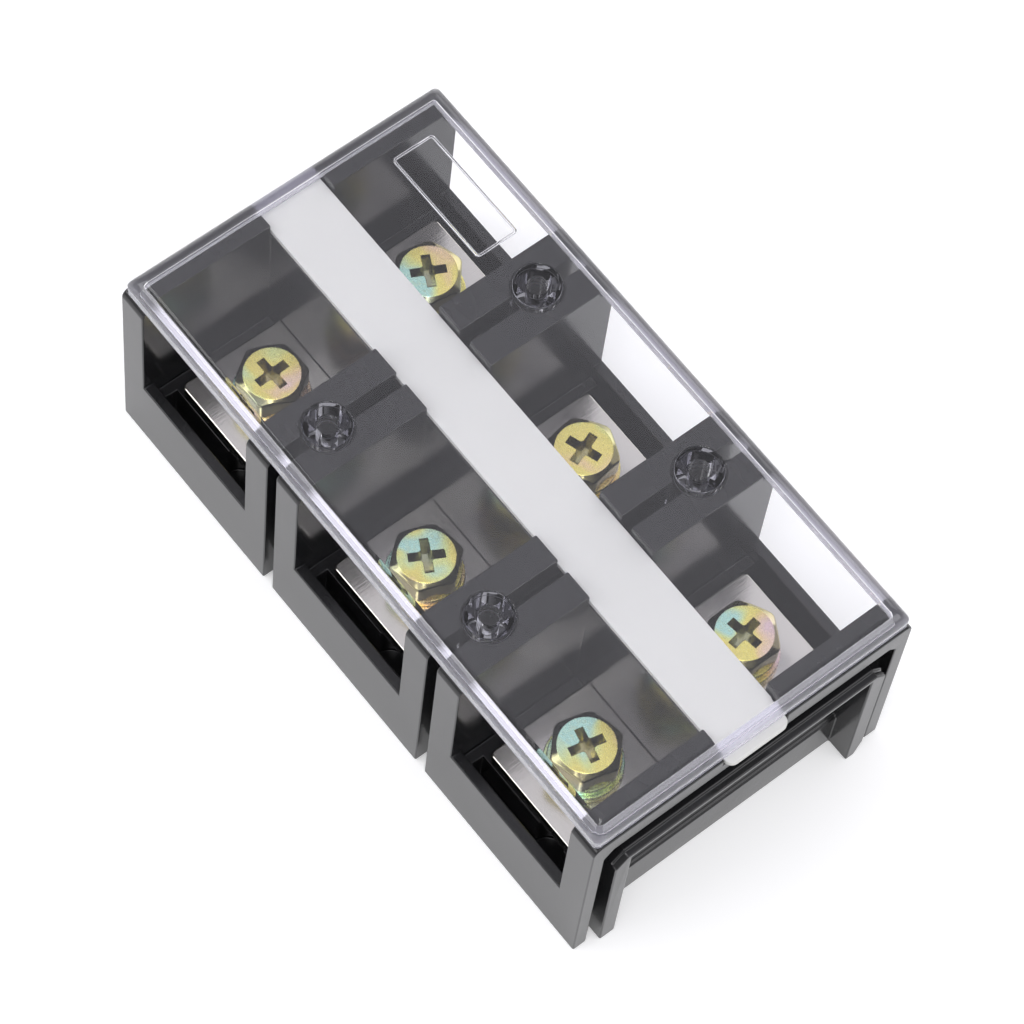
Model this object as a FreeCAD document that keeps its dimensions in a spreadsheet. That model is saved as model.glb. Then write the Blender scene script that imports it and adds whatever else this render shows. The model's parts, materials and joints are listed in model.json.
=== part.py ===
import FreeCAD, Part
import math
import os
import Sketcher

# Barrier terminal strip with three single-pole modules, in millimetres
# X runs along the row of poles, Y across it, Z up; the origin is the middle of the footprint

SIZES = [
    ("pole_pitch", 37.3, "middle of one pole to the middle of the next"),
    ("pole_slot", 2.1, "slot between the flanges of neighbouring modules"),
    ("base_depth", 58.3, "front face to back face"),
    ("base_height", 37.4, "top of the flanges, where the cover rests"),
    ("top_edge_radius", 1.6, "round on the long top edges"),
    ("ridge_height", 1.3, "barrier tops above the flanges, inside the cover"),
    ("ridge_clearance", 0.3, "barrier ridge to the inside of the cover skirt"),
    ("barrier_thickness", 5.1, "barrier wall on each side of a pole"),
    ("sill_height", 14.8, "lower edge of the wire windows"),
    ("sill_thickness", 1.9, "wall under the wire windows"),
    ("trench_width", 2.9, "trench between the sill and the shelf"),
    ("trench_floor", 5.0, "floor of the trench"),
    ("trench_gusset", 1.8, "length of the nub at each end of a trench"),
    ("shelf_height", 11.7, "top of the shelf that carries the plate"),
    ("shelf_notch_radius", 2.7, "half-round notch in the front of the shelf"),
    ("shelf_notch_offset", 5.0, "notch to the middle of the pole"),
    ("plate_width", 19.6, "conductor plate across the pole"),
    ("plate_length", 48.4, "conductor plate along Y"),
    ("plate_thickness", 2.8, "conductor plate"),
    ("plate_corner", 1.0, "round on the plate's corners"),
    ("plate_clearance", 0.2, "plate to its tunnel, each side and above"),
    ("spine_width", 11.6, "middle spine and the strip's channel"),
    ("channel_depth", 1.4, "flange top to the floor of the marking strip's channel"),
    ("strip_clearance", 0.2, "marking strip to the channel's sides"),
    ("strip_thickness", 0.9, "marking strip"),
    ("strip_tail", 0.1, "strip past the flange at its plain end"),
    ("strip_corner", 1.4, "round on the corners of the strip's tab"),
    ("lip_side", 2.45, "flange rim beside the groove"),
    ("lip_top", 3.9, "flange rim above the groove"),
    ("groove_corner", 1.5, "chamfer in the groove's upper corners"),
    ("groove_depth", 3.0, "depth of the groove in the flange"),
    ("collar_half", 25.0, "middle plane to the outside of the collar"),
    ("collar_leg", 2.8, "width of the collar's legs"),
    ("collar_top", 29.2, "top of the collar"),
    ("collar_bar", 1.1, "thickness of the collar's top bar"),
    ("collar_step", 0.6, "step up behind the collar's bar"),
    ("collar_corner", 2.0, "chamfer on the collar's upper corners"),
    ("leg_taper_width", 1.1, "taper on the back leg's foot, along Y"),
    ("leg_taper_height", 3.4, "taper on the back leg's foot, along Z"),
    ("foot_depth", 2.9, "flange to the foot wall between the legs"),
    ("foot_height", 8.6, "height of the foot wall"),
    ("foot_step", 0.25, "set-back of the rib on the foot wall"),
    ("foot_rib", 0.8, "height of the rib on the foot wall"),
    ("pocket_depth", 3.7, "flange to the back of the pocket above the foot wall"),
    ("thread_diameter", 6.0, "terminal screw thread"),
    ("thread_clearance", 0.05, "screw to its hole in the plate, radial"),
    ("screw_inset", 9.5, "plate end to the middle of the screw"),
    ("screw_length", 12.0, "screw below its head"),
    ("well_clearance", 0.4, "well in the shelf around the screw, radial"),
    ("well_run", 1.5, "room below the screw's end"),
    ("head_flats", 10.0, "screw head across flats"),
    ("head_height", 4.2, "screw head"),
    ("head_chamfer", 0.5, "chamfer around the head's top"),
    ("recess_width", 5.6, "tip to tip of the cross recess"),
    ("recess_slot", 1.3, "width of the recess's arms"),
    ("recess_depth", 2.2, "depth of the cross recess"),
    ("recess_taper", 12.0, "taper of the recess's walls in degrees"),
    ("washer_bore", 6.4, "bore of both washers"),
    ("flat_washer_diameter", 12.0, "flat washer"),
    ("flat_washer_thickness", 1.6, "flat washer"),
    ("spring_washer_diameter", 11.0, "spring washer"),
    ("spring_washer_thickness", 1.6, "spring washer, pressed flat"),
    ("spring_washer_gap", 0.9, "cut through the spring washer"),
    ("spring_washer_lean", 20.0, "lean of that cut in degrees"),
    ("cover_inset_x", 0.3, "flange to the cover's rim at the ends"),
    ("cover_inset_y", 0.5, "base face to the cover's rim at front and back"),
    ("cover_height", 3.9, "rim to the top of the cover"),
    ("cover_plate", 1.8, "thickness of the cover's top"),
    ("cover_wall", 2.0, "thickness of the cover's skirt"),
    ("cover_corner", 0.9, "round on the cover's upright edges"),
    ("cover_round", 2.0, "round along the edges of the cover's top"),
    ("post_spacing", 38.4, "front posts to back posts"),
    ("post_diameter", 7.2, "snap post"),
    ("post_bore", 3.3, "bore of the snap post"),
    ("post_clearance", 0.45, "post to its hole, radial"),
    ("post_reach", 1.9, "post below the collar's bar"),
    ("post_run", 0.8, "room below the post's end"),
    ("post_split", 1.0, "width of the slits between the fingers"),
    ("post_split_length", 6.0, "length of the slits"),
    ("barb_size", 0.3, "bead on the fingers, radial"),
    ("barb_height", 1.2, "height of the bead"),
]

POLES = 3
MARGIN = 1.0

doc = FreeCAD.newDocument("barrier_terminal_strip")
sheet = doc.addObject("Spreadsheet::Sheet", "dims")
for row, (alias, value, note) in enumerate(SIZES, start=1):
    sheet.set(f"A{row}", alias)
    sheet.set(f"B{row}", str(value))
    sheet.setAlias(f"B{row}", alias)
    sheet.set(f"C{row}", note)
doc.recompute()

# Formulas that several pieces share

HALF_DEPTH = "dims.base_depth / 2"
FLANGE = "(dims.pole_pitch - dims.pole_slot) / 2"
BUTT = "dims.pole_pitch / 2"
WINDOW = f"({FLANGE} - dims.barrier_thickness)"
RIDGE_TOP = "(dims.base_height + dims.ridge_height)"
SILL_INSIDE = f"({HALF_DEPTH} - dims.sill_thickness)"
SHELF_FRONT = f"({SILL_INSIDE} - dims.trench_width)"
SPINE = "dims.spine_width / 2"
PLATE_TOP = "(dims.shelf_height + dims.plate_thickness)"
COLLAR_INSIDE = "(dims.collar_half - dims.collar_leg)"
BAR_UNDERSIDE = "(dims.collar_top - dims.collar_bar)"
CHANNEL_FLOOR = "(dims.base_height - dims.channel_depth)"
SCREW_Y = "(dims.plate_length / 2 - dims.screw_inset)"
HEAD_SEAT = f"({PLATE_TOP} + dims.flat_washer_thickness + dims.spring_washer_thickness)"
WELL_RADIUS = "(dims.thread_diameter / 2 + dims.well_clearance)"
WELL_FLOOR = f"({HEAD_SEAT} - dims.screw_length - dims.well_run)"
POST_Y = "dims.post_spacing / 2"
POST_RADIUS = "dims.post_diameter / 2"
POST_HOLE = f"({POST_RADIUS} + dims.post_clearance)"
COVER_X = f"(({POLES} - 1) / 2 * dims.pole_pitch + {FLANGE} - dims.cover_inset_x)"
COVER_Y = f"({HALF_DEPTH} - dims.cover_inset_y)"
RIDGE_INSET_X = "(dims.cover_inset_x + dims.cover_wall + dims.ridge_clearance)"
RIDGE_INSET_Y = "(dims.cover_inset_y + dims.cover_wall + dims.ridge_clearance)"


def size(alias):
    """Value of one driving dimension."""
    return float(sheet.get(alias))


def new_body(label):
    """Empty body whose label names the sub-part."""
    body = doc.addObject("PartDesign::Body", label)
    body.Label = label
    return body


def origin_feature(body, role):
    """Origin plane or axis of a body."""
    return next(item for item in body.Origin.OriginFeatures if item.Role == role)


def new_sketch(body, name, role, height="0"):
    """Sketch on an origin plane of its body, raised along the plane's normal."""
    sketch = body.newObject("Sketcher::SketchObject", name)
    sketch.AttachmentSupport = [(origin_feature(body, role), "")]
    sketch.MapMode = "FlatFace"
    sketch.setExpression("AttachmentOffset.Base.z", height)
    return sketch


def dimension(sketch, constraint, formula):
    """Constraint bound to a formula of the sheet's values."""
    number = sketch.addConstraint(constraint)
    sketch.setExpression(f"Constraints[{number}]", formula)


def place_point(sketch, element, point, across, up):
    """Point of a sketch element held at two distances from the origin."""
    dimension(sketch, Sketcher.Constraint("DistanceX", -1, 1, element, point, 1.0), across)
    dimension(sketch, Sketcher.Constraint("DistanceY", -1, 1, element, point, 1.0), up)


def add_outline(sketch, corners):
    """Closed outline of straight edges through corners given as pairs of formulas."""
    first = sketch.GeometryCount
    count = len(corners)
    ring = []
    for index in range(count):
        turn = 2 * math.pi * index / count
        ring.append(FreeCAD.Vector(10 * math.cos(turn), 10 * math.sin(turn), 0))
    for index in range(count):
        sketch.addGeometry(Part.LineSegment(ring[index], ring[(index + 1) % count]), False)
    for index in range(count):
        after = first + (index + 1) % count
        sketch.addConstraint(Sketcher.Constraint("Coincident", first + index, 2, after, 1))
    for index, (across, up) in enumerate(corners):
        place_point(sketch, first + index, 1, across, up)


def add_rectangle(sketch, left, right, low, high):
    """Upright rectangle between four formulas."""
    add_outline(sketch, [(left, low), (right, low), (right, high), (left, high)])


def add_circle(sketch, across, up, radius):
    """Circle with its middle and radius given as formulas."""
    circle = Part.Circle(FreeCAD.Vector(1, 1, 0), FreeCAD.Vector(0, 0, 1), 1.0)
    number = sketch.addGeometry(circle, False)
    place_point(sketch, number, 3, across, up)
    dimension(sketch, Sketcher.Constraint("Radius", number, 1.0), radius)


def extrude(body, kind, name, sketch, length, side="One side", reverse=False):
    """Pad or pocket of a sketch over a length given as a formula."""
    feature = body.newObject(f"PartDesign::{kind}", name)
    feature.Profile = sketch
    feature.setExpression("Length", length)
    feature.SideType = side
    feature.Reversed = reverse
    sketch.Visibility = False
    return feature


def pad(body, name, sketch, length, side="One side", reverse=False):
    return extrude(body, "Pad", name, sketch, length, side, reverse)


def pocket(body, name, sketch, length, side="One side", reverse=False):
    return extrude(body, "Pocket", name, sketch, length, side, reverse)


def turned(body, kind, name, sketch, axis):
    """Revolution of a sketch, a full turn about an origin axis."""
    feature = body.newObject(f"PartDesign::{kind}", name)
    feature.Profile = sketch
    feature.ReferenceAxis = (origin_feature(body, axis), [""])
    feature.Angle = 360
    sketch.Visibility = False
    return feature


def mirror(body, name, features, role):
    """Mirror image of features in an origin plane, as the body's new tip."""
    feature = body.newObject("PartDesign::Mirrored", name)
    feature.Originals = features
    feature.MirrorPlane = (origin_feature(body, role), [""])
    body.Tip = feature
    return feature


def edge_names(body, wanted):
    """Names of the edges of a body's present shape that a test picks."""
    doc.recompute()
    shape = body.Tip.Shape
    return [f"Edge{number}" for number, edge in enumerate(shape.Edges, start=1) if wanted(edge)]


def dress(body, kind, name, wanted, amount):
    """Fillet or chamfer on the picked edges, its size bound to the sheet."""
    base = body.Tip
    names = edge_names(body, wanted)
    feature = body.newObject(f"PartDesign::{kind}", name)
    feature.Base = (base, names)
    feature.setExpression("Radius" if kind == "Fillet" else "Size", amount)
    return feature


def along(edge, axis):
    """True for a straight edge that runs along one axis."""
    if not isinstance(edge.Curve, Part.Line):
        return False
    direction = edge.Curve.Direction
    return abs(abs((direction.x, direction.y, direction.z)[axis]) - 1) < 1e-6


def near(value, target):
    return abs(value - target) < 1e-4


# Base modules


def module_outline(body):
    """Solid block with the barrier ridge, and a round on its long top edges."""
    sketch = new_sketch(body, "end_view", "YZ_Plane")
    ridge = f"({HALF_DEPTH} - {RIDGE_INSET_Y})"
    add_outline(sketch, [
        (f"-{HALF_DEPTH}", "0"),
        (HALF_DEPTH, "0"),
        (HALF_DEPTH, "dims.base_height"),
        (ridge, "dims.base_height"),
        (ridge, RIDGE_TOP),
        (f"-{ridge}", RIDGE_TOP),
        (f"-{ridge}", "dims.base_height"),
        (f"-{HALF_DEPTH}", "dims.base_height"),
    ])
    pad(body, "block", sketch, f"2 * {FLANGE}", "Symmetric")
    outer = size("base_depth") / 2
    top = size("base_height")
    dress(body, "Fillet", "top_round", lambda edge: along(edge, 0)
          and near(abs(edge.CenterOfMass.y), outer) and near(edge.CenterOfMass.z, top),
          "dims.top_edge_radius")


def cut_down(body, name, floor, draw):
    """Pocket from the ridge's top down to a floor."""
    sketch = new_sketch(body, f"{name}_sketch", "XY_Plane", RIDGE_TOP)
    draw(sketch)
    return pocket(body, name, sketch, f"{RIDGE_TOP} - {floor}")


def both_sides(near_y, far_y, half_width=WINDOW):
    """Drawing of two equal rectangles, in front of and behind the spine."""
    def draw(sketch):
        add_rectangle(sketch, f"-{half_width}", half_width, near_y, far_y)
        add_rectangle(sketch, f"-{half_width}", half_width, f"-{far_y}", f"-{near_y}")
    return draw


def module_compartments(body):
    """Wire windows, compartments with a shelf, and trenches behind the sills."""
    past = f"({HALF_DEPTH} + {MARGIN})"
    cut_down(body, "window", "dims.sill_height", both_sides(SPINE, past))
    cut_down(body, "compartment", "dims.shelf_height", both_sides(SPINE, SILL_INSIDE))
    between = f"({WINDOW} - dims.trench_gusset)"
    cut_down(body, "trench", "dims.trench_floor", both_sides(SHELF_FRONT, SILL_INSIDE, between))


def module_shelf(body):
    """Screw wells, the half-round notches and the tunnel for the plate."""
    wells = new_sketch(body, "well_sketch", "XY_Plane", "dims.shelf_height")
    for sign in ("", "-"):
        add_circle(wells, "0", f"{sign}{SCREW_Y}", WELL_RADIUS)
    pocket(body, "screw_wells", wells, f"dims.shelf_height - {WELL_FLOOR}")
    notches = new_sketch(body, "notch_sketch", "XY_Plane", "dims.shelf_height")
    for sign in ("", "-"):
        add_circle(notches, "dims.shelf_notch_offset", f"{sign}{SHELF_FRONT}",
                   "dims.shelf_notch_radius")
    pocket(body, "shelf_notches", notches, "dims.shelf_height - dims.trench_floor")
    tunnel = new_sketch(body, "tunnel_sketch", "XZ_Plane")
    half = "(dims.plate_width / 2 + dims.plate_clearance)"
    add_rectangle(tunnel, f"-{half}", half, "dims.shelf_height",
                  f"{PLATE_TOP} + dims.plate_clearance")
    pocket(body, "plate_tunnel", tunnel, f"2 * {SPINE} + 2 * {MARGIN}", "Symmetric")
    channel = new_sketch(body, "channel_sketch", "XY_Plane", RIDGE_TOP)
    add_rectangle(channel, f"-{BUTT}", BUTT, f"-{SPINE}", SPINE)
    pocket(body, "strip_channel", channel, f"{RIDGE_TOP} - {CHANNEL_FLOOR}")


def arch(outer, top, corner, taper=None):
    """Corners of the outer line of an arch that stands on the ground."""
    foot = [(outer, "0")]
    if taper:
        foot = [(f"({outer} - {taper[0]})", "0"), (outer, taper[1])]
    return [(f"-{outer}", "0")] + foot + [
        (outer, f"({top} - {corner})"),
        (f"({outer} - {corner})", top),
        (f"-({outer} - {corner})", top),
        (f"-{outer}", f"({top} - {corner})"),
    ]


def module_sides(body):
    """Arched groove and standing collar on the flange, mirrored to the other flange."""
    core = f"({HALF_DEPTH} - dims.lip_side)"
    roof = "(dims.base_height - dims.lip_top)"
    step = "(dims.collar_top + dims.collar_step)"
    ring = new_sketch(body, "groove_sketch", "YZ_Plane", FLANGE)
    add_outline(ring, arch(core, roof, "dims.groove_corner"))
    groove = pocket(body, "groove", ring, "dims.groove_depth")
    island = new_sketch(body, "collar_root_sketch", "YZ_Plane", f"{FLANGE} - dims.groove_depth")
    add_outline(island, arch("dims.collar_half", step, "dims.collar_corner"))
    root = pad(body, "collar_root", island, "dims.groove_depth")
    face = new_sketch(body, "collar_sketch", "YZ_Plane", FLANGE)
    taper = ("dims.leg_taper_width", "dims.leg_taper_height")
    add_outline(face, arch("dims.collar_half", "dims.collar_top", "dims.collar_corner", taper))
    collar = pad(body, "collar", face, f"{BUTT} - {FLANGE}")
    profile = new_sketch(body, "pocket_sketch", "XZ_Plane")
    wall = f"({FLANGE} - dims.foot_depth)"
    rib = f"({wall} - dims.foot_step)"
    back = f"({FLANGE} - dims.pocket_depth)"
    rib_top = "(dims.foot_height + dims.foot_rib)"
    past = f"({BUTT} + {MARGIN})"
    add_outline(profile, [
        (wall, f"-{MARGIN}"),
        (past, f"-{MARGIN}"),
        (past, BAR_UNDERSIDE),
        (back, BAR_UNDERSIDE),
        (back, rib_top),
        (rib, rib_top),
        (rib, "dims.foot_height"),
        (wall, "dims.foot_height"),
    ])
    hollow = pocket(body, "foot_pocket", profile, f"2 * {COLLAR_INSIDE}", "Symmetric")
    mirror(body, "other_flange", [groove, root, collar, hollow], "YZ_Plane")


def module_post_holes(body, sides):
    """Half-round holes for the snap posts in the flanges that meet a neighbour."""
    sketch = new_sketch(body, "post_hole_sketch", "XY_Plane", RIDGE_TOP)
    for side in sides:
        for sign in ("", "-"):
            add_circle(sketch, f"{side}{BUTT}", f"{sign}{POST_Y}", POST_HOLE)
    run = "(dims.post_reach + dims.post_run)"
    pocket(body, "post_holes", sketch, f"{RIDGE_TOP} - {BAR_UNDERSIDE} + {run}")


def module_rim_seat(body, side):
    """Ledge for the cover's rim where a module ends the row."""
    sketch = new_sketch(body, "rim_seat_sketch", "XY_Plane", RIDGE_TOP)
    inner = f"{side}({FLANGE} - {RIDGE_INSET_X})"
    add_rectangle(sketch, inner, f"{side}({BUTT} + {MARGIN})", f"-{HALF_DEPTH}", HALF_DEPTH)
    pocket(body, "rim_seat", sketch, "dims.ridge_height")


def base_module(number):
    """One moulded pole of the base, with holes only towards its neighbours."""
    body = new_body(f"base_module_{number}")
    module_outline(body)
    module_compartments(body)
    module_shelf(body)
    module_sides(body)
    neighbours = [side for side, last in (("-", 1), ("", POLES)) if number != last]
    module_post_holes(body, neighbours)
    for side, last in (("-", 1), ("", POLES)):
        if number == last:
            module_rim_seat(body, side)
    body.setExpression("Placement.Base.x", f"{number - (POLES + 1) / 2} * dims.pole_pitch")
    return body


# Metal parts


def conductor_plate(number):
    """Plated bar, tapped for two screws."""
    body = new_body(f"conductor_plate_{number}")
    sketch = new_sketch(body, "plate_sketch", "XY_Plane")
    add_rectangle(sketch, "-dims.plate_width / 2", "dims.plate_width / 2",
                  "-dims.plate_length / 2", "dims.plate_length / 2")
    pad(body, "plate", sketch, "dims.plate_thickness")
    dress(body, "Fillet", "corners", lambda edge: along(edge, 2), "dims.plate_corner")
    holes = new_sketch(body, "hole_sketch", "XY_Plane", "dims.plate_thickness")
    for sign in ("", "-"):
        add_circle(holes, "0", f"{sign}{SCREW_Y}", "dims.thread_diameter / 2")
    pocket(body, "threads", holes, "dims.plate_thickness")
    body.setExpression("Placement.Base.x", f"{number - (POLES + 1) / 2} * dims.pole_pitch")
    body.setExpression("Placement.Base.z", "dims.shelf_height")
    return body


def ring_section(body, outer, thickness):
    """Full turn of a washer's section."""
    sketch = new_sketch(body, "section", "XZ_Plane")
    add_rectangle(sketch, "dims.washer_bore / 2", f"{outer} / 2", "0", thickness)
    turned(body, "Revolution", "ring", sketch, "Z_Axis")


def flat_washer(label):
    body = new_body(label)
    ring_section(body, "dims.flat_washer_diameter", "dims.flat_washer_thickness")
    return body


def spring_washer(label):
    """Split washer, pressed flat, with a leaning cut through its ring."""
    body = new_body(label)
    ring_section(body, "dims.spring_washer_diameter", "dims.spring_washer_thickness")
    sketch = new_sketch(body, "cut_sketch", "XZ_Plane")
    lean = "(dims.spring_washer_thickness / 2 * tan(dims.spring_washer_lean * 1 deg))"
    half = "(dims.spring_washer_gap / 2)"
    low = f"-{MARGIN / 10}"
    high = f"(dims.spring_washer_thickness + {MARGIN / 10})"
    add_outline(sketch, [
        (f"-{half} - {lean}", low),
        (f"{half} - {lean}", low),
        (f"{half} + {lean}", high),
        (f"-{half} + {lean}", high),
    ])
    pocket(body, "cut", sketch, "dims.spring_washer_diameter")
    return body


def terminal_screw(label):
    """Hexagon head with a chamfered top and a tapered cross recess, on a plain shank."""
    body = new_body(label)
    head = new_sketch(body, "hexagon", "XY_Plane")
    reach = "dims.head_flats / 2 / cos(30 deg)"
    corners = [(f"{reach} * cos({60 * k} deg)", f"{reach} * sin({60 * k} deg)") for k in range(6)]
    add_outline(head, corners)
    pad(body, "head", head, "dims.head_height")
    top = size("head_height")
    dress(body, "Chamfer", "head_top", lambda edge: near(edge.BoundBox.ZMin, top),
          "dims.head_chamfer")
    shank = new_sketch(body, "shank_sketch", "XY_Plane")
    add_circle(shank, "0", "0", "dims.thread_diameter / 2 - dims.thread_clearance")
    pad(body, "shank", shank, "dims.screw_length", reverse=True)
    cross = new_sketch(body, "cross_sketch", "XY_Plane", "dims.head_height")
    arm = "dims.recess_slot / 2"
    tip = "dims.recess_width / 2"
    add_outline(cross, [
        (tip, arm), (arm, arm), (arm, tip), (f"-{arm}", tip),
        (f"-{arm}", arm), (f"-{tip}", arm), (f"-{tip}", f"-{arm}"), (f"-{arm}", f"-{arm}"),
        (f"-{arm}", f"-{tip}"), (arm, f"-{tip}"), (arm, f"-{arm}"), (tip, f"-{arm}"),
    ])
    recess = pocket(body, "cross_recess", cross, "dims.recess_depth")
    recess.setExpression("TaperAngle", "-dims.recess_taper")
    return body


def terminal(number, pole, side):
    """Screw with its two washers on one end of a plate."""
    across = f"{pole - (POLES + 1) / 2} * dims.pole_pitch"
    along_y = f"{side} * {SCREW_Y}"
    pieces = [
        (flat_washer(f"flat_washer_{number}"), PLATE_TOP),
        (spring_washer(f"spring_washer_{number}"), f"{PLATE_TOP} + dims.flat_washer_thickness"),
        (terminal_screw(f"terminal_screw_{number}"), HEAD_SEAT),
    ]
    for body, height in pieces:
        body.setExpression("Placement.Base.x", across)
        body.setExpression("Placement.Base.y", along_y)
        body.setExpression("Placement.Base.z", height)
    return [body for body, height in pieces]


# Strip and cover


def marking_strip():
    """Plain strip whose tab end has round corners and stands out to the collar's face."""
    body = new_body("marking_strip")
    half = f"({SPINE} - dims.strip_clearance)"
    left = f"-(({POLES} - 1) / 2 * dims.pole_pitch + {FLANGE} + dims.strip_tail)"
    right = f"(({POLES} - 1) / 2 * dims.pole_pitch + {BUTT})"
    sketch = new_sketch(body, "strip_sketch", "XY_Plane")
    add_rectangle(sketch, left, right, f"-{half}", half)
    pad(body, "strip", sketch, "dims.strip_thickness")
    dress(body, "Fillet", "tab_corners", lambda edge: along(edge, 2) and edge.CenterOfMass.x > 0,
          "dims.strip_corner")
    body.setExpression("Placement.Base.z", CHANNEL_FLOOR)
    return body


def cover_shell(body):
    """Tray with a wide round along its top and small rounds on its corners."""
    outline = new_sketch(body, "rim_sketch", "XY_Plane")
    add_rectangle(outline, f"-{COVER_X}", COVER_X, f"-{COVER_Y}", COVER_Y)
    pad(body, "tray", outline, "dims.cover_height")
    top = size("cover_height")
    dress(body, "Fillet", "top_edges", lambda edge: near(edge.BoundBox.ZMin, top),
          "dims.cover_round")
    dress(body, "Fillet", "upright_edges", lambda edge: isinstance(edge.Curve, Part.Line)
          and edge.BoundBox.ZLength > MARGIN, "dims.cover_corner")
    inside = new_sketch(body, "cavity_sketch", "XY_Plane")
    inner_x = f"({COVER_X} - dims.cover_wall)"
    inner_y = f"({COVER_Y} - dims.cover_wall)"
    add_rectangle(inside, f"-{inner_x}", inner_x, f"-{inner_y}", inner_y)
    pocket(body, "cavity", inside, "dims.cover_height - dims.cover_plate", reverse=True)


def cover_post(body, side_x, side_y):
    """Hollow split post with a bead round its fingers."""
    name = f"post_{'l' if side_x == '-' else 'r'}{'f' if side_y == '-' else 'b'}"
    middle = (f"{side_x}{BUTT}", f"{side_y}{POST_Y}")
    underside = "(dims.cover_height - dims.cover_plate)"
    tip = f"({BAR_UNDERSIDE} - dims.post_reach - dims.base_height)"
    stem = new_sketch(body, f"{name}_stem", "XY_Plane", tip)
    add_circle(stem, *middle, POST_RADIUS)
    pad(body, f"{name}_pad", stem, f"{underside} - {tip}")
    bead = new_sketch(body, f"{name}_bead", "XY_Plane", tip)
    add_circle(bead, *middle, f"{POST_RADIUS} + dims.barb_size")
    pad(body, f"{name}_bead_pad", bead, "dims.barb_height")
    bore = new_sketch(body, f"{name}_bore", "XY_Plane", tip)
    add_circle(bore, *middle, "dims.post_bore / 2")
    pocket(body, f"{name}_bore_cut", bore, f"{underside} - {tip}", reverse=True)
    reach = f"({POST_RADIUS} + dims.barb_size + {MARGIN})"
    for arm, (wide, deep) in enumerate((("dims.post_split / 2", reach),
                                        (reach, "dims.post_split / 2"))):
        slit = new_sketch(body, f"{name}_slit_{arm}", "XY_Plane", tip)
        add_rectangle(slit, f"{middle[0]} - {wide}", f"{middle[0]} + {wide}",
                      f"{middle[1]} - {deep}", f"{middle[1]} + {deep}")
        pocket(body, f"{name}_slit_cut_{arm}", slit, "dims.post_split_length", reverse=True)


def cover():
    """Clear tray with four snap posts, its rim on the flanges."""
    body = new_body("cover")
    cover_shell(body)
    for side_x in ("-", ""):
        for side_y in ("-", ""):
            cover_post(body, side_x, side_y)
    body.setExpression("Placement.Base.z", "dims.base_height")
    return body


pieces = [base_module(number) for number in range(1, POLES + 1)]
pieces += [conductor_plate(number) for number in range(1, POLES + 1)]
for pole in range(1, POLES + 1):
    for turn, side in enumerate((-1, 1)):
        pieces += terminal(2 * pole - 1 + turn, pole, side)
pieces.append(marking_strip())
pieces.append(cover())

doc.recompute()
for item in doc.Objects:
    if "Invalid" in item.State or "Error" in item.State:
        raise SystemExit(f"{item.Name} failed: {item.State}")
for piece in pieces:
    if piece.Shape.isNull() or not piece.Shape.isValid() or len(piece.Shape.Solids) != 1:
        raise SystemExit(f"{piece.Label} has no valid single solid")

os.makedirs("parts", exist_ok=True)
for piece in pieces:
    piece.Shape.exportStep(f"parts/{piece.Label}.step")
    box = piece.Shape.BoundBox
    print(f"{piece.Label}: {piece.Shape.Volume:.1f} mm3, x {box.XMin:.2f} to {box.XMax:.2f}, "
          f"y {box.YMin:.2f} to {box.YMax:.2f}, z {box.ZMin:.2f} to {box.ZMax:.2f}")
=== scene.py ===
import json
import math

import bmesh
import bpy
from mathutils import Matrix, Vector
from mathutils.geometry import tessellate_polygon


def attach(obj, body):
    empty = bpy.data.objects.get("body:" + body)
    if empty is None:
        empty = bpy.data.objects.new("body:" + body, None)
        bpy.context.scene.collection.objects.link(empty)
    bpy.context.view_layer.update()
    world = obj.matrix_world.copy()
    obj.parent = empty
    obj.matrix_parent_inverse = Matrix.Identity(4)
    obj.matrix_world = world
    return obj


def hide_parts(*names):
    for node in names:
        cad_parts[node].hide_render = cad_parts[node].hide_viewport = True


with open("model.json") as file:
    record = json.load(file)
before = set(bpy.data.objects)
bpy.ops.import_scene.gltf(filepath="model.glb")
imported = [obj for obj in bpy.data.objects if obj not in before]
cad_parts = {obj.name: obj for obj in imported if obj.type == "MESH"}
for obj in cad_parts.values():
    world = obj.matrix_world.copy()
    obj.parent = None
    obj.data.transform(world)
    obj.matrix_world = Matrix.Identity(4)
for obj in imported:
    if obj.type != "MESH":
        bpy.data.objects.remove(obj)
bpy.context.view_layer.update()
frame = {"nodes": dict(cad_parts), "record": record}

NODES = frame["nodes"]
BODY_OF = {name: body for body, names in frame["record"]["behaviour"]["bodies"].items()
           for name in names}


# Sizes that several parts share, in millimetres

MM = 0.001
POLE_PITCH = 37.3
POST_Y = 19.2
SCREW_Y = 14.7
HEAD_SEAT, HEAD_TOP = 17.7, 21.9
COVER_X, COVER_Y = 54.6, 28.65
RIM, CEILING, COVER_TOP = 37.4, 39.5, 41.3


def placed(name, data):
    """New object in the scene."""
    made = bpy.data.objects.new(name, data)
    bpy.context.scene.collection.objects.link(made)
    return made


# Camera

CAMERA_AT = Vector((193.8604, -200.1799, 576.8069)) * MM
CAMERA_TURN = (2.415623603777624, 1.1907593550360405, -0.19231652163490015)
FOCAL_PIXELS = 4233.9567
FRAME_PIXELS = 1024
SENSOR = 36.0


def add_camera():
    """Camera at the photograph's place, from its turn as an axis times an angle."""
    axis = Vector(CAMERA_TURN)
    world_to_view = Matrix.Rotation(axis.length, 3, axis.normalized())
    right, down, ahead = world_to_view
    turn = Matrix((right, -down, -ahead)).transposed()
    data = bpy.data.cameras.new("view")
    data.sensor_width = SENSOR
    data.lens = FOCAL_PIXELS * SENSOR / FRAME_PIXELS
    data.clip_start = 0.01
    data.clip_end = 20
    camera = placed("view", data)
    camera.matrix_world = Matrix.Translation(CAMERA_AT) @ turn.to_4x4()
    bpy.context.scene.camera = camera


# Material nodes


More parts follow.
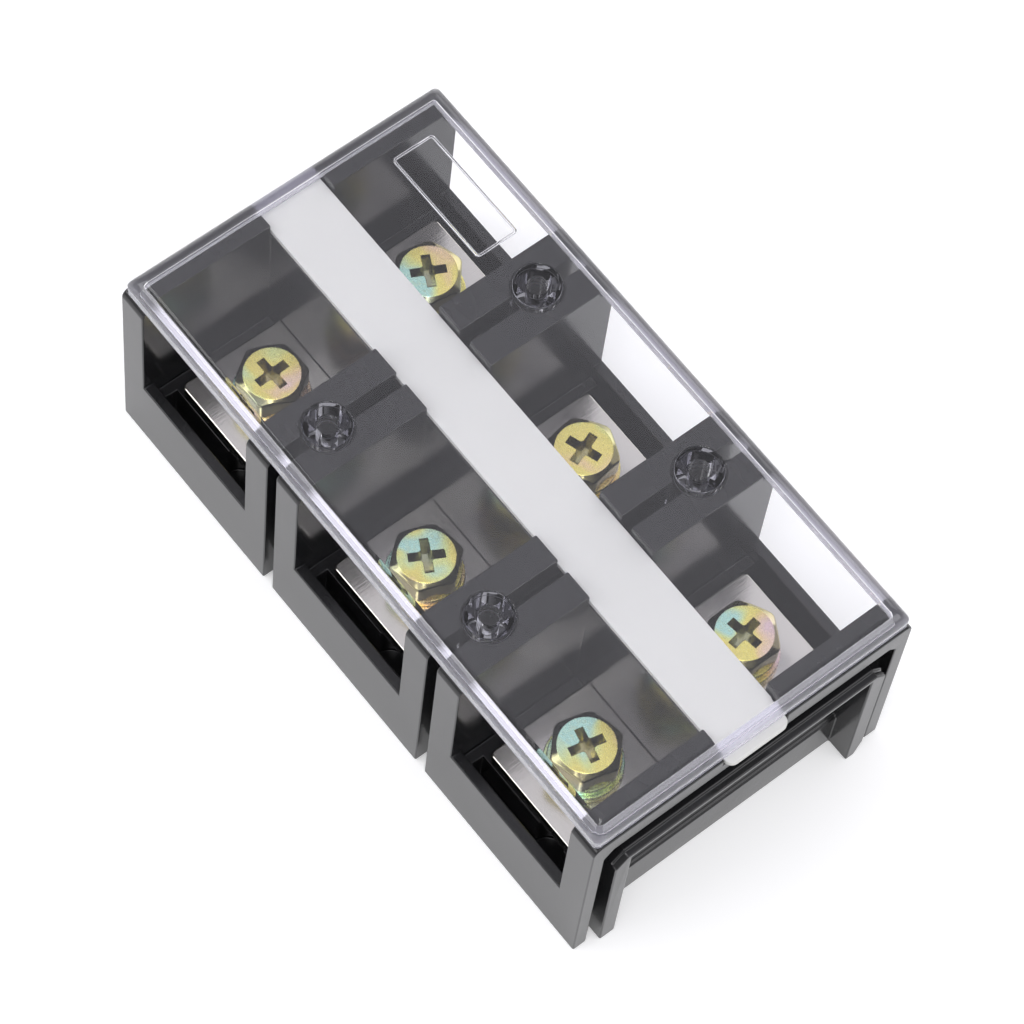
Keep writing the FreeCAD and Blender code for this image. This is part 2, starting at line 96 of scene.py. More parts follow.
def new_material(name):
    material = bpy.data.materials.new(name)
    material.use_nodes = True
    tree = material.node_tree
    tree.nodes.clear()
    output = tree.nodes.new("ShaderNodeOutputMaterial")
    return material, tree, output


def node(tree, kind, **properties):
    made = tree.nodes.new(kind)
    for key, value in properties.items():
        setattr(made, key, value)
    return made


def set_inputs(made, values):
    for key, value in values.items():
        made.inputs[key].default_value = value


def object_coordinates(tree, scale=(1, 1, 1)):
    place = node(tree, "ShaderNodeTexCoord")
    mapping = node(tree, "ShaderNodeMapping")
    mapping.inputs["Scale"].default_value = scale
    tree.links.new(place.outputs["Object"], mapping.inputs["Vector"])
    return mapping.outputs["Vector"]


def axes(tree, vector):
    """X, Y and Z of a vector."""
    made = node(tree, "ShaderNodeSeparateXYZ")
    tree.links.new(vector, made.inputs[0])
    return tuple(made.outputs)


def noise(tree, vector, scale, detail, roughness=0.55, distortion=0.0):
    made = node(tree, "ShaderNodeTexNoise")
    set_inputs(made, {"Scale": scale, "Detail": detail, "Roughness": roughness,
                      "Distortion": distortion})
    tree.links.new(vector, made.inputs["Vector"])
    return made.outputs["Fac"]


def ramp(tree, factor, stops):
    made = node(tree, "ShaderNodeValToRGB")
    elements = made.color_ramp.elements
    while len(elements) < len(stops):
        elements.new(0.5)
    for element, (position, colour) in zip(elements, stops):
        element.position = position
        element.color = (*colour, 1)
    tree.links.new(factor, made.inputs["Fac"])
    return made.outputs["Color"]


def remap(tree, factor, low, high, from_low=0.0, from_high=1.0):
    made = node(tree, "ShaderNodeMapRange")
    set_inputs(made, {"From Min": from_low, "From Max": from_high, "To Min": low, "To Max": high})
    tree.links.new(factor, made.inputs["Value"])
    return made.outputs["Result"]


def calculate(tree, operation, *values):
    """Result of one math node on numbers and sockets."""
    made = node(tree, "ShaderNodeMath", operation=operation)
    for socket, value in zip(made.inputs, values):
        if isinstance(value, (int, float)):
            socket.default_value = value
        else:
            tree.links.new(value, socket)
    return made.outputs[0]


def band(tree, height, foot, top):
    """Mask that rises over the foot's span of heights and falls over the top's."""
    rising = remap(tree, height, 0.0, 1.0, foot[0] * MM, foot[1] * MM)
    falling = remap(tree, height, 1.0, 0.0, top[0] * MM, top[1] * MM)
    return calculate(tree, "MULTIPLY", falling, rising)


def bump(tree, height, strength, distance):
    made = node(tree, "ShaderNodeBump")
    set_inputs(made, {"Strength": strength, "Distance": distance})
    tree.links.new(height, made.inputs["Height"])
    return made.outputs["Normal"]


def mix_colour(tree, factor, first, second):
    made = node(tree, "ShaderNodeMix", data_type="RGBA", blend_type="MIX")
    for index, value in ((0, factor), (6, first), (7, second)):
        socket = made.inputs[index]
        if isinstance(value, tuple):
            socket.default_value = (*value, 1)
        else:
            tree.links.new(value, socket)
    return made.outputs[2]


# Materials


def base_plastic():
    """Gloss black moulding: faint flow marks, a little dust and a fine ripple."""
    material, tree, output = new_material("base_moulding")
    shader = node(tree, "ShaderNodeBsdfPrincipled")
    shader.inputs["IOR"].default_value = 1.48
    place = object_coordinates(tree)
    flow = noise(tree, object_coordinates(tree, (0.35, 1, 1)), scale=90, detail=4)
    specks = noise(tree, place, scale=2600, detail=2, roughness=0.6)
    dust = ramp(tree, specks, [(0.70, (0, 0, 0)), (0.80, (1, 1, 1))])
    tone = mix_colour(tree, flow, (0.010, 0.010, 0.011), (0.016, 0.016, 0.017))
    dusted = mix_colour(tree, remap(tree, dust, 0, 0.25), tone, (0.10, 0.10, 0.11))
    gloss = remap(tree, flow, 0.15, 0.22, from_low=0.3, from_high=0.7)
    ripple = bump(tree, noise(tree, place, scale=420, detail=2), strength=0.10, distance=0.0001)
    tree.links.new(dusted, shader.inputs["Base Color"])
    tree.links.new(gloss, shader.inputs["Roughness"])
    tree.links.new(ripple, shader.inputs["Normal"])
    tree.links.new(shader.outputs[0], output.inputs["Surface"])
    return material


def tin_plate():
    """Tin on the bars: warm grey, soft grain, faint handling marks."""
    material, tree, output = new_material("tinned_plate")
    shader = node(tree, "ShaderNodeBsdfPrincipled")
    shader.inputs["Metallic"].default_value = 1.0
    cloud = noise(tree, object_coordinates(tree), scale=220, detail=5, roughness=0.6)
    rolled = noise(tree, object_coordinates(tree, (6, 0.4, 1)), scale=700, detail=4, roughness=0.6)
    tone = mix_colour(tree, cloud, (0.70, 0.67, 0.63), (0.80, 0.78, 0.74))
    grain = bump(tree, rolled, strength=0.25, distance=0.00004)
    tree.links.new(tone, shader.inputs["Base Color"])
    tree.links.new(remap(tree, cloud, 0.12, 0.24), shader.inputs["Roughness"])
    tree.links.new(grain, shader.inputs["Normal"])
    tree.links.new(shader.outputs[0], output.inputs["Surface"])
    return material


def zinc_steel():
    """Yellow passivated zinc, its film from green over gold to pink across each screw.

    The screw's side walls, sloped ring and cross recess get painted shade, a dark olive, and are
    smoother than its crown.
    """
    material, tree, output = new_material("zinc_steel")
    shader = node(tree, "ShaderNodeBsdfPrincipled")
    shader.inputs["Metallic"].default_value = 1.0
    place = object_coordinates(tree)
    x, y, z = axes(tree, place)
    along = calculate(tree, "WRAP", x, POLE_PITCH / 2 * MM, -POLE_PITCH / 2 * MM)
    across = calculate(tree, "MULTIPLY_ADD", calculate(tree, "SIGN", y), -SCREW_Y * MM, y)
    lean = calculate(tree, "MULTIPLY_ADD", across, 1.2, along)
    patches = noise(tree, place, scale=130, detail=1, roughness=0.4, distortion=0.6)
    film = ramp(tree, calculate(tree, "MULTIPLY_ADD", lean, 9.0, patches), [
        (0.30, (0.58, 0.92, 0.80)),
        (0.39, (0.86, 0.95, 0.42)),
        (0.46, (1.0, 0.90, 0.28)),
        (0.57, (1.0, 0.86, 0.28)),
        (0.66, (1.0, 0.76, 0.42)),
        (0.80, (0.94, 0.72, 0.74)),
    ])
    grain = noise(tree, place, scale=1800, detail=3)
    specks = remap(tree, grain, 0, 0.30, from_low=0.5, from_high=0.8)
    speckled = mix_colour(tree, specks, film, (0.95, 0.82, 0.34))
    # Painted shade: the head's side walls, sloped ring and cross recess are darkened to olive.
    walls = band(tree, z, (HEAD_SEAT, HEAD_SEAT + 0.1), (HEAD_TOP - 0.12, HEAD_TOP - 0.03))
    wall_painted_shade = mix_colour(tree, remap(tree, walls, 0, 0.85), speckled, (0.36, 0.33, 0.20))
    matt = calculate(tree, "MULTIPLY_ADD", walls, -0.13, remap(tree, grain, 0.22, 0.32))
    pitted = bump(tree, grain, strength=0.14, distance=0.00002)
    tree.links.new(wall_painted_shade, shader.inputs["Base Color"])
    tree.links.new(matt, shader.inputs["Roughness"])
    tree.links.new(pitted, shader.inputs["Normal"])
    tree.links.new(shader.outputs[0], output.inputs["Surface"])
    return material


def marking_plastic():
    """White card-like plastic with a soft satin face."""
    material, tree, output = new_material("marking_plastic")
    shader = node(tree, "ShaderNodeBsdfPrincipled")
    place = object_coordinates(tree)
    cloud = noise(tree, place, scale=60, detail=3)
    grain = noise(tree, place, scale=3000, detail=2)
    tone = mix_colour(tree, cloud, (0.66, 0.66, 0.63), (0.705, 0.705, 0.675))
    fibre = bump(tree, grain, strength=0.10, distance=0.00003)
    tree.links.new(tone, shader.inputs["Base Color"])
    tree.links.new(remap(tree, grain, 0.42, 0.55), shader.inputs["Roughness"])
    tree.links.new(fibre, shader.inputs["Normal"])
    tree.links.new(shader.outputs[0], output.inputs["Surface"])
    return material


def clear_plastic():
    """Clear cover with fine scuffs and a frosted rim; lamps shine through it.

    The rim's lavender tint carries painted shade, darkest at the back left corner and lightening
    to the front right one.
    """
    material, tree, output = new_material("clear_plastic")
    shader = node(tree, "ShaderNodeBsdfPrincipled")
    shader.inputs["IOR"].default_value = 1.50
    shader.inputs["Transmission Weight"].default_value = 1.0
    place = object_coordinates(tree)
    x, y, z = axes(tree, place)
    frost = band(tree, z, (RIM - 0.10, RIM - 0.05), (RIM + 0.10, RIM + 0.30))
    cloud = noise(tree, place, scale=40, detail=2)
    clear = mix_colour(tree, cloud, (0.955, 0.955, 0.955), (0.97, 0.97, 0.97))
    # Painted shade and light on the rim: its lavender tint is darkest towards the back left corner
    # and lightest towards the front right.
    toward = calculate(tree, "SUBTRACT", x, calculate(tree, "MULTIPLY", y, COVER_X / COVER_Y))
    corner = remap(tree, toward, 0, 1, from_low=-20 * MM, from_high=20 * MM)
    rim_tint_and_painted_shade = mix_colour(tree, corner, (0.20, 0.19, 0.25), (0.60, 0.58, 0.71))
    scuffs = noise(tree, object_coordinates(tree, (1, 14, 1)), scale=500, detail=4, roughness=0.7)
    worn = remap(tree, scuffs, 0.0, 0.06, from_low=0.45, from_high=0.8)
    matt = calculate(tree, "MULTIPLY_ADD", frost, 0.65, worn)
    tree.links.new(mix_colour(tree, frost, clear, rim_tint_and_painted_shade), shader.inputs["Base Color"])
    tree.links.new(matt, shader.inputs["Roughness"])
    window = node(tree, "ShaderNodeBsdfTransparent")
    window.inputs["Color"].default_value = (0.90, 0.90, 0.93, 1)
    ray = node(tree, "ShaderNodeLightPath")
    mixed = node(tree, "ShaderNodeMixShader")
    tree.links.new(ray.outputs["Is Shadow Ray"], mixed.inputs[0])
    tree.links.new(shader.outputs[0], mixed.inputs[1])
    tree.links.new(window.outputs[0], mixed.inputs[2])
    tree.links.new(mixed.outputs[0], output.inputs["Surface"])
    depth = node(tree, "ShaderNodeVolumeAbsorption")
    set_inputs(depth, {"Color": (0.84, 0.83, 0.97, 1), "Density": 50})
    tree.links.new(depth.outputs[0], output.inputs["Volume"])
    return material


# Pieces from the solids, with softened edges

MERGE_DISTANCE = 0.002
FLAT_ANGLE = math.radians(0.3)
SHARP_ANGLE = math.radians(30)
ROUNDING_STEPS = 2
FACE_WEIGHT = 80


def cleaned(source, name):
    """Copy of a solid's mesh with its flat faces whole."""
    mesh = source.data.copy()
    mesh.name = name
    work = bmesh.new()
    work.from_mesh(mesh)
    bmesh.ops.remove_doubles(work, verts=work.verts, dist=MERGE_DISTANCE * MM)
    bmesh.ops.dissolve_limit(work, angle_limit=FLAT_ANGLE, verts=work.verts, edges=work.edges,
                             use_dissolve_boundaries=False)
    bmesh.ops.recalc_face_normals(work, faces=work.faces)
    for face in work.faces:
        face.smooth = True
    work.to_mesh(mesh)
    work.free()
    return mesh


def settle(piece):
    """Apply a piece's modifiers to its mesh."""
    bpy.context.view_layer.update()
    graph = bpy.context.evaluated_depsgraph_get()
    mesh = bpy.data.meshes.new_from_object(piece.evaluated_get(graph), depsgraph=graph)
    piece.modifiers.clear()
    piece.data = mesh


def softened(name, radius):
    """Piece that stands for a solid, its sharp edges rounded by a radius in millimetres."""
    piece = placed(f"{name}_soft", cleaned(NODES[name], f"{name}_soft"))
    rounding = piece.modifiers.new("edges", "BEVEL")
    rounding.width = radius * MM
    rounding.segments = ROUNDING_STEPS
    rounding.limit_method = "ANGLE"
    rounding.angle_limit = SHARP_ANGLE
    rounding.use_clamp_overlap = False
    weighting = piece.modifiers.new("normals", "WEIGHTED_NORMAL")
    weighting.mode = "FACE_AREA"
    weighting.weight = FACE_WEIGHT
    settle(piece)
    return piece


def dress(piece, node_name, material):
    """Material and body for a piece that stands for a node, whose own solid is hidden."""
    piece.data.materials.clear()
    piece.data.materials.append(material)
    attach(piece, BODY_OF[node_name])
    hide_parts(node_name)


# Meshes drawn in code, in millimetres


def swept(middle, radius, turn, height, out, up):
    """Point and normal at an angle about an upright axis."""
    cosine, sine = math.cos(turn), math.sin(turn)
    return ((middle[0] + radius * cosine, middle[1] + radius * sine, height),
            (out * cosine, out * sine, up))


class Sheets:
    """Faces with a normal for each point, gathered into one mesh."""

    def __init__(self):
        self.points, self.normals, self.faces = [], [], []

    def grid(self, rows, closed=True):
        """Rows of (point, normal) pairs joined by quads."""
        first = len(self.points)
        count = len(rows[0])
        for row in rows:
            for place, normal in row:
                self.points.append(place)
                self.normals.append(normal)
        span = count if closed else count - 1
        for line in range(len(rows) - 1):
            low, high = first + line * count, first + (line + 1) * count
            for index in range(span):
                after = (index + 1) % count
                self.faces.append((low + index, low + after, high + after, high + index))

    def cap(self, loops, height, up):
        """Flat face inside its first loop and outside the others."""
        first = len(self.points)
        flat = [[Vector((x, y, 0)) for x, y in loop] for loop in loops]
        for loop in loops:
            for x, y in loop:
                self.points.append((x, y, height))
                self.normals.append((0, 0, up))
        for face in tessellate_polygon(flat):
            self.faces.append(tuple(first + index for index in face))

    def flat(self, corners, normal):
        """Flat face through corners in order."""
        first = len(self.points)
        self.points += corners
        self.normals += [normal] * len(corners)
        self.faces.append(tuple(range(first, first + len(corners))))

    def turned(self, profile, middle, turns, closed=True):
        """Profile of (radius, height, normal out, normal up) swept about an upright axis."""
        self.grid([[swept(middle, radius, turn, height, out, up) for turn in turns]
                   for radius, height, out, up in profile], closed)

    def mesh(self, name):
        """Smooth mesh of the faces, each turned to the side of its normals."""
        mesh = bpy.data.meshes.new(name)
        mesh.from_pydata([Vector(place) * MM for place in self.points], [], self.faces)
        wanted = [Vector(normal).normalized() for normal in self.normals]
        work = bmesh.new()
        work.from_mesh(mesh)
        for face in work.faces:
            face.smooth = True
            lean = sum((wanted[vertex.index] for vertex in face.verts), Vector())
            if face.normal.dot(lean) < 0:
                face.normal_flip()
        work.to_mesh(mesh)
        work.free()
        mesh.normals_split_custom_set_from_vertices(wanted)
        return mesh


def spread(start, end, steps):
    """Even angles from start to end, given in degrees."""
    return [math.radians(start + (end - start) * step / steps) for step in range(steps + 1)]


def circle(middle, radius, count=48):
    return [(middle[0] + radius * math.cos(2 * math.pi * k / count),
             middle[1] + radius * math.sin(2 * math.pi * k / count)) for k in range(count)]


def arc(middle, radius, start, end, steps, hollow=False):
    """Profile points with their normals along an arc, angles in degrees."""
    sign = -1 if hollow else 1
    points = []
    for turn in spread(start, end, steps):
        way = (math.cos(turn), math.sin(turn))
        points.append((middle[0] + radius * way[0], middle[1] + radius * way[1],
                       sign * way[0], sign * way[1]))
    return points


def profile_normals(line):
    """Profile of (radius, height) with normals to the right of its run."""
    made = []
    for index, (radius, height) in enumerate(line):
        before = line[max(index - 1, 0)]
        after = line[min(index + 1, len(line) - 1)]
        run, rise = after[0] - before[0], after[1] - before[1]
        length = math.hypot(run, rise)
        made.append((radius, height, rise / length, -run / length))
    return made


def rounded_row(middle, half, radius, height, out, up, steps=8):
    """Points and normals round a rectangle with round corners."""
    row = []
    for corner, (side_x, side_y) in enumerate(((1, 1), (-1, 1), (-1, -1), (1, -1))):
        for turn in spread(90 * corner, 90 * corner + 90, steps):
            way = (math.cos(turn), math.sin(turn))
            row.append(((middle[0] + side_x * (half[0] - radius) + radius * way[0],
                         middle[1] + side_y * (half[1] - radius) + radius * way[1], height),
                        (out * way[0], out * way[1], up)))
    return row


# Clear cover

WALL = 2.0
SLOPE, SWELL, HOLLOW = 2.1, 0.35, 0.12
EDGE, CREASE = 0.12, 0.05
OUTER_CORNER, CORNER_LOSS, INNER_CORNER = 0.9, 0.3, 0.5
POSTS = [(side_x * POLE_PITCH / 2, side_y * POST_Y) for side_x in (-1, 1) for side_y in (-1, 1)]
POST_R, BORE_R, SLIT = 3.6, 1.65, 0.5
POST_TIP, SLIT_TOP = 26.2, 32.2
FILLET, TIP_INSET, BEAD = 0.25, 0.25, 0.3
FRAME_MIDDLE, FRAME_HALF, FRAME_CORNER = (-37.7, 18.8), (10.1, 3.6), 0.5
BAR_HALF, BAR_SIDE, BAR_DEPTH, BAR_SINK = 0.22, 0.1, 0.18, 0.004


def shell_row(offset, height, out, up, radius):
    half = (COVER_X + offset, COVER_Y + offset)
    return rounded_row((0, 0), half, radius, height, out, up)


def add_shell(sheets):
    """Tray with an upright wall and a swelled slope along its top edges."""
    reach = (SLOPE ** 2 / 2 + SWELL ** 2) / (2 * SWELL)
    half_angle = math.degrees(math.asin(SLOPE / math.sqrt(2) / reach))
    centre = SLOPE / 2 + (reach - SWELL) * math.sqrt(0.5)
    outside = arc((-EDGE, RIM + EDGE), EDGE, -90, 0, 3)
    outside.append((0, COVER_TOP - SLOPE - CREASE, 1, 0))
    outside += arc((-centre, COVER_TOP - centre), reach, 45 - half_angle, 45 + half_angle, 10)
    outside.append((-SLOPE - CREASE, COVER_TOP, 0, 1))
    inside = arc((-WALL - HOLLOW, CEILING - HOLLOW), HOLLOW, 90, 0, 6, hollow=True)
    inside += arc((-WALL + EDGE, RIM + EDGE), EDGE, 180, 270, 3)
    outer_rows = [shell_row(*point, OUTER_CORNER + CORNER_LOSS * point[0] / SLOPE)
                  for point in outside]
    inner_rows = [shell_row(*point, INNER_CORNER) for point in inside]
    sheets.grid(inner_rows + outer_rows)
    top = [place[:2] for place, normal in outer_rows[-1]]
    ceiling = [place[:2] for place, normal in inner_rows[0]]
    sheets.cap([top], COVER_TOP, 1)
    sheets.cap([ceiling] + [circle(post, POST_R + FILLET) for post in POSTS], CEILING, -1)


def add_post(sheets, middle):
    """Hollow post, split in four fingers with a bead at the tip."""
    full = spread(0, 360, 48)[:-1]
    root = arc((POST_R + FILLET, CEILING - FILLET), FILLET, 90, 180, 4, hollow=True)
    sheets.turned(root + [(POST_R, SLIT_TOP, 1, 0)], middle, full)
    sheets.turned([(BORE_R, SLIT_TOP, -1, 0), (BORE_R, CEILING, -1, 0)], middle, full)
    sheets.cap([circle(middle, BORE_R)], CEILING, -1)
    outer_gap = math.degrees(math.asin(SLIT / POST_R))
    inner_gap = math.degrees(math.asin(SLIT / BORE_R))
    bore = [(BORE_R, POST_TIP, -1, 0), (BORE_R, SLIT_TOP, -1, 0)]
    finger = profile_normals([(POST_R - TIP_INSET, POST_TIP), (POST_R + BEAD, POST_TIP + 0.6),
                              (POST_R + BEAD, POST_TIP + 0.9), (POST_R, POST_TIP + 1.2),
                              (POST_R, SLIT_TOP)])
    for base in (0, 90, 180, 270):
        outer = spread(base + outer_gap, base + 90 - outer_gap, 8)
        inner = spread(base + inner_gap, base + 90 - inner_gap, 8)
        sheets.turned(finger, middle, outer, closed=False)
        sheets.turned(bore, middle, inner, closed=False)
        sheets.grid([[swept(middle, radius, turn, POST_TIP, 0, -1) for turn in turns]
                     for radius, turns in ((BORE_R, inner), (POST_R - TIP_INSET, outer))],
                    closed=False)
        sheets.grid([[swept(middle, radius, turn, SLIT_TOP, 0, -1)
                      for turn in spread(base - gap, base + gap, 4)]
                     for radius, gap in ((BORE_R, inner_gap), (POST_R, outer_gap))],
                    closed=False)
        outline = [(BORE_R, SLIT_TOP, inner), (BORE_R, POST_TIP, inner)]
        outline += [(radius, height, outer) for radius, height, out, up in finger]
        for end, side, wall in ((0, 1, base), (-1, -1, base + 90)):
            corners = [swept(middle, radius, turns[end], height, 0, 0)[0]
                       for radius, height, turns in outline]
            turn = math.radians(wall)
            sheets.flat(corners, (side * math.sin(turn), -side * math.cos(turn), 0))


def add_frame(sheets):
    """Bare raised frame on the underside, near the back left corner."""
    slant = BAR_HALF * 0.6
    section = [(BAR_HALF, BAR_SINK, 0.3, 1), (BAR_HALF, BAR_SIDE, 1, 0),
               (slant, BAR_DEPTH, 0.7, -0.7), (-slant, BAR_DEPTH, -0.7, -0.7),
               (-BAR_HALF, BAR_SIDE, -1, 0), (-BAR_HALF, BAR_SINK, -0.3, 1),
               (BAR_HALF, BAR_SINK, 0.3, 1)]
    sheets.grid([rounded_row(FRAME_MIDDLE, (FRAME_HALF[0] + offset, FRAME_HALF[1] + offset),
                             FRAME_CORNER + offset, CEILING - depth, out, up, steps=4)
                 for offset, depth, out, up in section])


def clear_cover():
    sheets = Sheets()
    add_shell(sheets)
    for post in POSTS:
        add_post(sheets, post)
    add_frame(sheets)
    return placed("cover_clear", sheets.mesh("cover_clear"))


# Screws, each with the turns of its hexagon and of its cross in degrees

FLATS, CROWN_R, PLAN_ROUND = 5.0, 4.4, 1.1
CONE = math.tan(math.radians(30))
CROWN_SOFT = 0.1
CROSS_LEVELS = [(2.82, 0.74, 0), (2.75, 0.67, 0.09), (2.0, 0.56, 1.2), (1.35, 0.42, 2.3)]
CROSS_WEB = 0.42
SHANK_R, THREAD_DEPTH, PITCH = 2.95, 0.5, 1.0
SCREW_END, LEAD_DEPTH, NECK = 5.7, 0.45, 0.6
TURNS = [(4, 2), (20, 63), (9, 61.5), (38, 19), (15, 77), (30, 9)]


def hexagon(turn, flat_steps=6, round_steps=6):
    """Outline of a hexagon with rounded corners."""
    middle = (FLATS - PLAN_ROUND) / math.cos(math.radians(30))

    def rounding(corner, lean):
        way = math.radians(60 * corner + turn)
        out = way + math.radians(lean)
        return (middle * math.cos(way) + PLAN_ROUND * math.cos(out),
                middle * math.sin(way) + PLAN_ROUND * math.sin(out))

    points = []
    for corner in range(6):
        points += [rounding(corner, -30 + 60 * step / round_steps)
                   for step in range(round_steps + 1)]
        start, end = points[-1], rounding(corner + 1, -30)
        for step in range(1, flat_steps):
            share = step / flat_steps
            points.append((start[0] + (end[0] - start[0]) * share,
                           start[1] + (end[1] - start[1]) * share))
    return points


def cross_outline(tip, arm, turn, web_steps=3):
    """Cross of four arms with round webs between them."""
    quadrant = [(tip, arm)]
    for angle in spread(270, 180, web_steps):
        quadrant.append((arm + CROSS_WEB + CROSS_WEB * math.cos(angle),
                         arm + CROSS_WEB + CROSS_WEB * math.sin(angle)))
    quadrant.append((arm, tip))
    points = []
    for quarter in range(4):
        way = math.radians(90 * quarter + turn)
        for x, y in quadrant:
            points.append((x * math.cos(way) - y * math.sin(way),
                           x * math.sin(way) + y * math.cos(way)))
    return points


def add_recess(sheets, middle, crown, cross_turn):
    """Crown's face round a tapered cross recess, and the recess itself."""
    loops = [[(middle[0] + x, middle[1] + y) for x, y in cross_outline(tip, arm, cross_turn)]
             for tip, arm, depth in CROSS_LEVELS]
    heights = [HEAD_TOP - depth for tip, arm, depth in CROSS_LEVELS]
    sheets.cap([crown, loops[0]], HEAD_TOP, 1)
    for level in range(len(loops) - 1):
        top, foot = heights[level], heights[level + 1]
        for index, a in enumerate(loops[level]):
            after = (index + 1) % len(loops[level])
            b, c, d = loops[level][after], loops[level + 1][after], loops[level + 1][index]
            run = Vector((b[0] - a[0], b[1] - a[1], 0))
            fall = Vector((d[0] - a[0], d[1] - a[1], foot - top))
            normal = fall.cross(run).normalized()
            if normal.z < 0:
                normal = -normal
            sheets.flat([(*a, top), (*b, top), (*c, foot), (*d, foot)], tuple(normal))
    sheets.cap([loops[-1]], heights[-1], 1)


def add_head(sheets, middle, hex_turn, cross_turn):
    """Head with a flat round crown, a sloped ring, six flats and a cross recess."""
    plan = hexagon(hex_turn)
    outward = []
    for index in range(len(plan)):
        before, after = plan[index - 1], plan[(index + 1) % len(plan)]
        run = (after[0] - before[0], after[1] - before[1])
        length = math.hypot(*run)
        outward.append((run[1] / length, -run[0] / length))

    def row(radius_of, height_of, out, up, radial=False):
        """Points round the head, their normals square to the plan or straight out."""
        made = []
        for (x, y), way in zip(plan, outward):
            far = math.hypot(x, y)
            unit = (x / far, y / far)
            radius = radius_of(far)
            way = unit if radial else way
            made.append(((middle[0] + radius * unit[0], middle[1] + radius * unit[1],
                          height_of(far)), (out * way[0], out * way[1], up)))
        return made

    def slope(radius):
        """Height of the sloped ring."""
        return HEAD_TOP - 0.05 - (radius - CROWN_R) * CONE

    ring = (0.5, 0.866)
    rim = CROWN_R + CROWN_SOFT / 2
    crown = row(lambda far: CROWN_R - CROWN_SOFT, lambda far: HEAD_TOP, 0, 1, radial=True)
    sheets.grid([
        crown,
        row(lambda far: CROWN_R, lambda far: HEAD_TOP - 0.03, 0.26, 0.966, radial=True),
        row(lambda far: rim, lambda far: slope(rim), *ring, radial=True),
        row(lambda far: far - 0.24, lambda far: slope(far - 0.24), *ring, radial=True),
        row(lambda far: far - 0.07, lambda far: slope(far - 0.07) - 0.02, 0.8, 0.6),
        row(lambda far: far, lambda far: slope(far) - 0.14, 0.95, 0.25),
        row(lambda far: far, lambda far: slope(far) - 0.28, 1, 0),
        row(lambda far: far, lambda far: HEAD_SEAT + 0.15, 1, 0),
        row(lambda far: far - 0.05, lambda far: HEAD_SEAT + 0.04, 0.7, -0.7),
        row(lambda far: far - 0.15, lambda far: HEAD_SEAT, 0, -1),
        row(lambda far: SHANK_R, lambda far: HEAD_SEAT, 0, -1, radial=True),
    ])
    add_recess(sheets, middle, [place[:2] for place, normal in crown], cross_turn)


def add_shank(sheets, middle, around=32, steps=5):
    """Threaded shank with a short lead at its end."""
    lines = int((HEAD_SEAT - NECK - SCREW_END) / PITCH * steps)
    turns = [2 * math.pi * index / around for index in range(around)]
    rows = []
    for line in range(lines + 1):
        height = SCREW_END + line * PITCH / steps
        lead = min(1.0, height - SCREW_END)
        row = []
        for index, turn in enumerate(turns):
            phase = (height / PITCH - index / around) % 1.0
            ridge = 1 - abs(2 * phase - 1)
            radius = SHANK_R - THREAD_DEPTH * (1 - ridge) - LEAD_DEPTH * (1 - lead)
            tilt = -0.5 if phase < 0.5 else 0.5
            row.append(swept(middle, radius, turn, height, 1, tilt))
        rows.append(row)
    rows.append([swept(middle, SHANK_R, turn, HEAD_SEAT, 1, 0) for turn in turns])
    sheets.grid(rows)
    sheets.cap([circle(middle, SHANK_R - THREAD_DEPTH - LEAD_DEPTH, around)], SCREW_END, -1)


def screw(number, hex_turn, cross_turn):
    pole, side = divmod(number - 1, 2)
    middle = ((pole - 1) * POLE_PITCH, (-SCREW_Y, SCREW_Y)[side])
    sheets = Sheets()
    add_head(sheets, middle, hex_turn, cross_turn)
    add_shank(sheets, middle)
    return placed(f"screw_{number}_fine", sheets.mesh(f"screw_{number}_fine"))


# Floor and light

FLOOR_HALF, FLOOR_DROP, FLOOR_GLOW = 6.0, 0.00005, 0.33
LAMP_TARGET = Vector((0, 0, 0.02))
LAMPS = {
    "key": ((-0.75, -0.35, 0.95), (0.7, 0.5), 3.0),
    "fill": ((0.95, 0.45, 0.55), (0.8, 0.5), 3.0),
    "front": ((-0.40, -1.00, 0.75), (0.7, 0.45), 3.0),
    "top": ((0.36, -0.38, 1.08), (0.5, 0.5), 3.0),
    "back": ((-0.38, 1.05, 0.32), (0.8, 0.35), 1.5),
}
SKY = [
    (0.0, (0.62, 0.62, 0.63)),
    (0.50, (0.50, 0.50, 0.51)),
    (0.75, (0.45, 0.45, 0.48)),
    (0.88, (0.82, 0.81, 0.87)),
    (1.0, (0.86, 0.85, 0.91)),
]


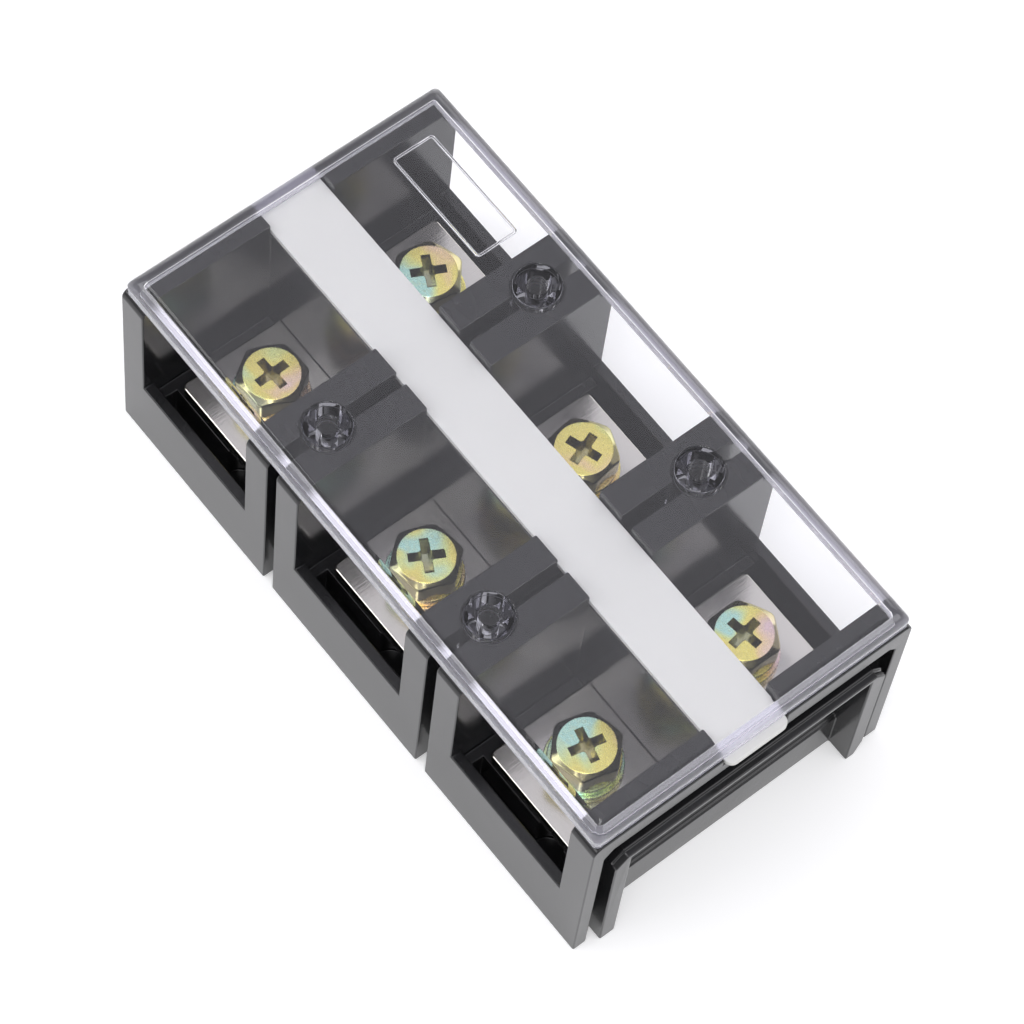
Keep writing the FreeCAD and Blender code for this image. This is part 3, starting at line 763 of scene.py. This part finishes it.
def add_floor():
    """Pale floor that reads as white to the camera and keeps the part's shadow."""
    half = FLOOR_HALF
    mesh = bpy.data.meshes.new("floor")
    mesh.from_pydata([(-half, -half, 0), (half, -half, 0), (half, half, 0), (-half, half, 0)],
                     [], [(0, 1, 2, 3)])
    floor = placed("floor", mesh)
    floor.location.z = -FLOOR_DROP
    material, tree, output = new_material("floor")
    shader = node(tree, "ShaderNodeBsdfDiffuse")
    shader.inputs["Color"].default_value = (0.86, 0.86, 0.86, 1)
    glow = node(tree, "ShaderNodeEmission")
    ray = node(tree, "ShaderNodeLightPath").outputs
    seen = calculate(tree, "MAXIMUM", ray["Is Camera Ray"], ray["Is Glossy Ray"])
    seen = calculate(tree, "MAXIMUM", seen, ray["Is Transmission Ray"])
    level = calculate(tree, "MULTIPLY", seen, FLOOR_GLOW)
    tree.links.new(level, glow.inputs["Strength"])
    both = node(tree, "ShaderNodeAddShader")
    tree.links.new(shader.outputs[0], both.inputs[0])
    tree.links.new(glow.outputs[0], both.inputs[1])
    tree.links.new(both.outputs[0], output.inputs["Surface"])
    floor.data.materials.append(material)


def add_sky():
    """Soft studio dome, lightest overhead."""
    world = bpy.data.worlds.new("studio")
    world.use_nodes = True
    tree = world.node_tree
    tree.nodes.clear()
    output = node(tree, "ShaderNodeOutputWorld")
    shade = node(tree, "ShaderNodeBackground")
    x, y, z = axes(tree, node(tree, "ShaderNodeTexCoord").outputs["Generated"])
    tree.links.new(ramp(tree, z, SKY), shade.inputs["Color"])
    tree.links.new(shade.outputs[0], output.inputs["Surface"])
    bpy.context.scene.world = world


def add_lamp(name, at, size, power):
    data = bpy.data.lights.new(name, "AREA")
    data.shape = "RECTANGLE"
    data.size, data.size_y = size
    data.energy = power
    lamp = placed(name, data)
    lamp.location = at
    lamp.rotation_euler = (LAMP_TARGET - Vector(at)).to_track_quat("-Z", "Y").to_euler()


# The part, its floor and its light

add_camera()
BASE = base_plastic()
TIN = tin_plate()
ZINC = zinc_steel()
WHITE = marking_plastic()
CLEAR = clear_plastic()

for number in (1, 2, 3):
    name = f"base_module_{number}"
    dress(softened(name, 0.25), name, BASE)
    name = f"conductor_plate_{number}"
    dress(softened(name, 0.35), name, TIN)
for number, (hex_turn, cross_turn) in enumerate(TURNS, start=1):
    for kind in ("flat_washer", "spring_washer"):
        name = f"{kind}_{number}"
        dress(softened(name, 0.15), name, ZINC)
    dress(screw(number, hex_turn, cross_turn), f"terminal_screw_{number}", ZINC)
dress(softened("marking_strip", 0.1), "marking_strip", WHITE)
dress(clear_cover(), "cover", CLEAR)
add_floor()
add_sky()
for name, lamp in LAMPS.items():
    add_lamp(name, *lamp)

scene = bpy.context.scene
scene.view_settings.view_transform = "Standard"
